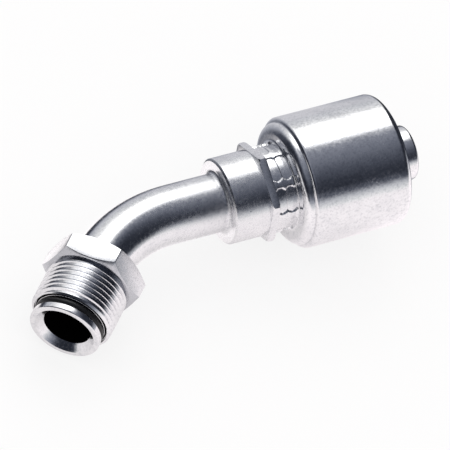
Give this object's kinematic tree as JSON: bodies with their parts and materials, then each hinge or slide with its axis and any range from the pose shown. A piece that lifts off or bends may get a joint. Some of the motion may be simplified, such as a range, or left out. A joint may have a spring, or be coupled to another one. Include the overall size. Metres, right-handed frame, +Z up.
{
  "type": "crimp hydraulic hose fitting",
  "caption": "Bent-tube end fitting for a hydraulic hose: a crimp shell over a turned hose tail, a brazed 45 degree tube and a swivelling threaded nut behind a nose sealed by an O-ring.",
  "frame": {"origin": "centre of the crimp shell's mouth, on the hose tail's axis", "axes": "+Z up as the fitting lies on a table; seen from above the hose leaves along +X, its axis climbing 4.6 degrees towards +X, and the bent tube turns towards -Y"},
  "size_m": [0.141, 0.0604, 0.0462],
  "materials": {
    "plated_steel": "bright zinc plate over turned steel",
    "braze": "plated braze fillet, slightly rough",
    "black_rubber": "smooth moulded"
  },
  "bodies": {
    "fitting": {"hose_stem": "plated_steel", "crimp_shell": "plated_steel", "bent_tube": "plated_steel", "braze_fillet": "braze", "seal_nose": "plated_steel", "o_ring": "black_rubber"},
    "nut": {"swivel_nut": "plated_steel"}
  },
  "joints": [
    {"name": "nut_swivel", "type": "hinge", "parent": "fitting", "child": "nut", "pos_m": [-0.10735, -0.01389, -0.00923], "axis": [-0.7026, -0.7066, -0.0846], "continuous": true}
  ]
}
